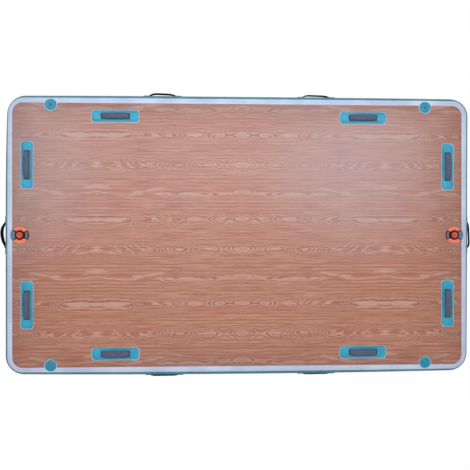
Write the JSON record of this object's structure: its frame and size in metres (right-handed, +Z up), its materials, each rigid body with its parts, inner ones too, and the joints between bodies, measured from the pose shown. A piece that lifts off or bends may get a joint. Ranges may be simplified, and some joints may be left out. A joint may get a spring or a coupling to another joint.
{
  "type": "inflatable dock platform",
  "caption": "Flat rectangular inflatable platform with a foam deck, carry handles, tie rings and screw-capped valves, for swimming and boarding.",
  "frame": {"origin": "on the ground under the middle of the platform", "axes": "+X along the long side, +Y across the short side, +Z up out of the deck"},
  "size_m": [3.1028, 1.8778, 0.1787],
  "materials": {
    "white_pvc": "coated fabric, satin",
    "teal_pvc": "coated fabric, satin",
    "side_teal": "coated fabric, satin",
    "wood_foam": "closed-cell foam with a wood-grain surface",
    "woven_polyester": "woven",
    "grey_neoprene": "padded, matt",
    "black_webbing": "woven",
    "steel": "polished stainless",
    "black_plastic": "moulded, satin",
    "orange_foam": "printed, satin",
    "red_plastic": "moulded, glossy",
    "grey_plastic": "moulded, satin",
    "black_rubber": "moulded, matt"
  },
  "bodies": {
    "root": {"drop_stitch_core": "woven_polyester", "top_skin": "white_pvc", "bottom_skin": "white_pvc", "side_wall": "side_teal", "top_seam_tape": "white_pvc", "bottom_seam_tape": "white_pvc", "deck_pad": "wood_foam", "deck_handle_patch_rear_left": "teal_pvc", "deck_handle_strap_rear_left": "grey_neoprene", "deck_handle_patch_rear_right": "teal_pvc", "deck_handle_strap_rear_right": "grey_neoprene", "deck_handle_patch_front_left": "teal_pvc", "deck_handle_strap_front_left": "grey_neoprene", "deck_handle_patch_front_right": "teal_pvc", "deck_handle_strap_front_right": "grey_neoprene", "deck_handle_patch_left_rear": "teal_pvc", "deck_handle_strap_left_rear": "grey_neoprene", "deck_handle_patch_right_rear": "teal_pvc", "deck_handle_strap_right_rear": "grey_neoprene", "deck_handle_patch_left_front": "teal_pvc", "deck_handle_strap_left_front": "grey_neoprene", "deck_handle_patch_right_front": "teal_pvc", "deck_handle_strap_right_front": "grey_neoprene", "side_handle_patch_left": "side_teal", "side_handle_strap_left": "black_webbing", "side_handle_patch_right": "side_teal", "side_handle_strap_right": "black_webbing", "side_handle_patch_rear_left": "side_teal", "side_handle_strap_rear_left": "black_webbing", "side_handle_patch_rear_right": "side_teal", "side_handle_strap_rear_right": "black_webbing", "side_handle_patch_front_left": "side_teal", "side_handle_strap_front_left": "black_webbing", "side_handle_patch_front_right": "side_teal", "side_handle_strap_front_right": "black_webbing", "tie_ring_patch_rear_left": "teal_pvc", "tie_ring_patch_rear_right": "teal_pvc", "tie_ring_patch_front_left": "teal_pvc", "tie_ring_patch_front_right": "teal_pvc", "valve_deck_ring_left": "orange_foam", "valve_body_left": "black_plastic", "valve_base_nut_left": "grey_plastic", "valve_spring_left": "steel", "valve_deck_ring_right": "orange_foam", "valve_body_right": "black_plastic", "valve_base_nut_right": "grey_plastic", "valve_spring_right": "steel"},
    "ring_rear_left": {"tie_ring_rear_left": "steel"},
    "ring_rear_right": {"tie_ring_rear_right": "steel"},
    "ring_front_left": {"tie_ring_front_left": "steel"},
    "ring_front_right": {"tie_ring_front_right": "steel"},
    "cap_lift_left": {"valve_cap_tether_left": "black_rubber"},
    "cap_left": {"valve_cap_left": "red_plastic"},
    "stem_push_left": {"valve_seal_left": "black_rubber"},
    "stem_left": {"valve_stem_left": "grey_plastic"},
    "cap_lift_right": {"valve_cap_tether_right": "black_rubber"},
    "cap_right": {"valve_cap_right": "red_plastic"},
    "stem_push_right": {"valve_seal_right": "black_rubber"},
    "stem_right": {"valve_stem_right": "grey_plastic"}
  },
  "joints": [
    {"name": "ring_rear_left_swing", "type": "hinge", "parent": "root", "child": "ring_rear_left", "pos_m": [-1.2195, 0.84, 0.1547], "axis": [-1, 0, 0], "range_deg": [0, 180]},
    {"name": "ring_rear_right_swing", "type": "hinge", "parent": "root", "child": "ring_rear_right", "pos_m": [1.2195, 0.84, 0.1547], "axis": [-1, 0, 0], "range_deg": [0, 180]},
    {"name": "ring_front_left_swing", "type": "hinge", "parent": "root", "child": "ring_front_left", "pos_m": [-1.2195, -0.84, 0.1547], "axis": [1, 0, 0], "range_deg": [0, 180]},
    {"name": "ring_front_right_swing", "type": "hinge", "parent": "root", "child": "ring_front_right", "pos_m": [1.2195, -0.84, 0.1547], "axis": [1, 0, 0], "range_deg": [0, 180]},
    {"name": "cap_left_lift", "type": "slide", "parent": "root", "child": "cap_lift_left", "axis": [0, 0, 1], "range_m": [0, 0.006], "deforming": ["valve_cap_tether_left"]},
    {"name": "cap_left_turn", "type": "hinge", "parent": "cap_lift_left", "child": "cap_left", "pos_m": [-1.415, 0, 0.155], "axis": [0, 0, 1], "range_deg": [0, 540]},
    {"name": "stem_left_push", "type": "slide", "parent": "root", "child": "stem_push_left", "axis": [0, 0, -1], "range_m": [0, 0.0045], "stiffness_N_per_m": 800, "springref_m": -0.003, "deforming": ["valve_spring_left"]},
    {"name": "stem_left_turn", "type": "hinge", "parent": "stem_push_left", "child": "stem_left", "pos_m": [-1.415, 0, 0.14], "axis": [0, 0, -1], "range_deg": [0, 90]},
    {"name": "cap_right_lift", "type": "slide", "parent": "root", "child": "cap_lift_right", "axis": [0, 0, 1], "range_m": [0, 0.006], "deforming": ["valve_cap_tether_right"]},
    {"name": "cap_right_turn", "type": "hinge", "parent": "cap_lift_right", "child": "cap_right", "pos_m": [1.415, 0, 0.155], "axis": [0, 0, 1], "range_deg": [0, 540]},
    {"name": "stem_right_push", "type": "slide", "parent": "root", "child": "stem_push_right", "axis": [0, 0, -1], "range_m": [0, 0.0045], "stiffness_N_per_m": 800, "springref_m": -0.003, "deforming": ["valve_spring_right"]},
    {"name": "stem_right_turn", "type": "hinge", "parent": "stem_push_right", "child": "stem_right", "pos_m": [1.415, 0, 0.14], "axis": [0, 0, -1], "range_deg": [0, 90]}
  ],
  "couplings": [
    {"joint": "cap_left_turn", "follows": "cap_left_lift", "rad_per_m": 1570.8},
    {"joint": "cap_right_turn", "follows": "cap_right_lift", "rad_per_m": 1570.8}
  ]
}
